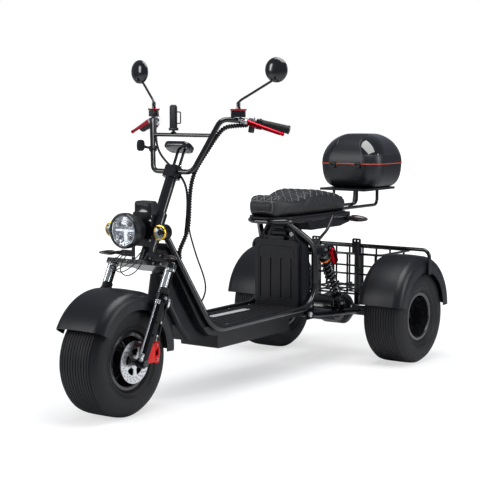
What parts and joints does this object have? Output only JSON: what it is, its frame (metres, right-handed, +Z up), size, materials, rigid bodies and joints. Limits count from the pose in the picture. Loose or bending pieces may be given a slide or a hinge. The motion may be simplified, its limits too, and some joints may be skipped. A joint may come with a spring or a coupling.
{
  "type": "motorized trike",
  "caption": "Electric trike with fat tyres, a raked front fork, step-through floor, long saddle, wire cargo basket and a rear top case.",
  "frame": {"origin": "on the ground, below the middle of the vehicle's length and width", "axes": "-Y points to the nose, +X to the vehicle's left side, +Z up; the steering is straight"},
  "size_m": [1.0386, 2.3169, 1.4319],
  "materials": {
    "tyre": "matt",
    "rim_black": "gloss",
    "frame_black": "satin",
    "bright_chrome": "polished",
    "disc_steel": "brushed",
    "plastic_satin": "satin",
    "plastic_gloss": "gloss",
    "grip_rubber": "matt",
    "red_anodised": "anodised",
    "seat_cover": "satin",
    "lamp_glass": "clear",
    "fog_glass": "gloss",
    "smoked_lens": "gloss",
    "cable_black": "matt",
    "axle_steel": "satin",
    "cast_alloy": "cast"
  },
  "bodies": {
    "steering": {"front_axle": "axle_steel", "fork_lower_legs": "frame_black", "fork_stanchions": "bright_chrome", "steering_stem": "frame_black", "handlebar": "frame_black", "handlebar_grips": "grip_rubber", "brake_levers": "red_anodised", "bar_controls": "cast_alloy", "reservoir_caps": "red_anodised", "mirrors": "plastic_gloss", "dashboard": "plastic_gloss", "bar_accessories": "plastic_satin", "headlamp_housing": "plastic_gloss", "headlamp_lens": "lamp_glass", "fog_lamps": "fog_glass", "lamp_bracket": "frame_black", "nose_box": "plastic_satin", "front_turn_signals": "smoked_lens", "front_fender": "plastic_satin", "front_caliper": "red_anodised", "handlebar_cables": "cable_black"},
    "front_wheel": {"front_tyre": "tyre", "front_rim": "rim_black", "front_brake_disc": "disc_steel"},
    "rear_left_wheel": {"rear_left_tyre": "tyre", "rear_left_rim": "rim_black"},
    "rear_right_wheel": {"rear_right_tyre": "tyre", "rear_right_rim": "rim_black"},
    "case_lid": {"case_lid": "plastic_gloss"},
    "chassis": {"battery_box": "plastic_satin", "cargo_basket": "frame_black", "case_rack": "frame_black", "case_tub": "plastic_satin", "floor_mat": "grip_rubber", "floor_pan": "plastic_satin", "frame": "frame_black", "frame_cables": "cable_black", "horn": "plastic_satin", "mount_ears": "frame_black", "rear_axle": "frame_black", "rear_cross_tube": "frame_black", "rear_fenders": "plastic_satin", "rear_turn_signals": "smoked_lens", "seat_cushion": "seat_cover", "seat_pan": "plastic_satin", "seat_pillar": "plastic_satin", "seat_rail": "frame_black", "shock_bottles": "red_anodised", "shock_coils": "frame_black", "shock_dampers": "cast_alloy", "swing_arm": "frame_black", "tail_lamp": "smoked_lens", "under_floor_box": "plastic_satin", "under_seat_tray": "plastic_satin"}
  },
  "joints": [
    {"name": "steering", "type": "hinge", "parent": "chassis", "child": "steering", "pos_m": [0, -0.91564, 0.21892], "axis": [0, 0.454, 0.891], "range_deg": [-35, 35]},
    {"name": "front_wheel_spin", "type": "hinge", "parent": "steering", "child": "front_wheel", "pos_m": [0, -0.9315, 0.227], "axis": [1, 0, 0], "continuous": true},
    {"name": "rear_left_spin", "type": "hinge", "parent": "chassis", "child": "rear_left_wheel", "pos_m": [0.379, 0.7585, 0.227], "axis": [1, 0, 0], "continuous": true},
    {"name": "rear_right_spin", "type": "hinge", "parent": "chassis", "child": "rear_right_wheel", "pos_m": [-0.379, 0.7585, 0.227], "axis": [1, 0, 0], "continuous": true},
    {"name": "case_lid_hinge", "type": "hinge", "parent": "chassis", "child": "case_lid", "pos_m": [0, 0.8325, 0.94215], "axis": [1, 0, 0], "range_deg": [0, 85]}
  ]
}
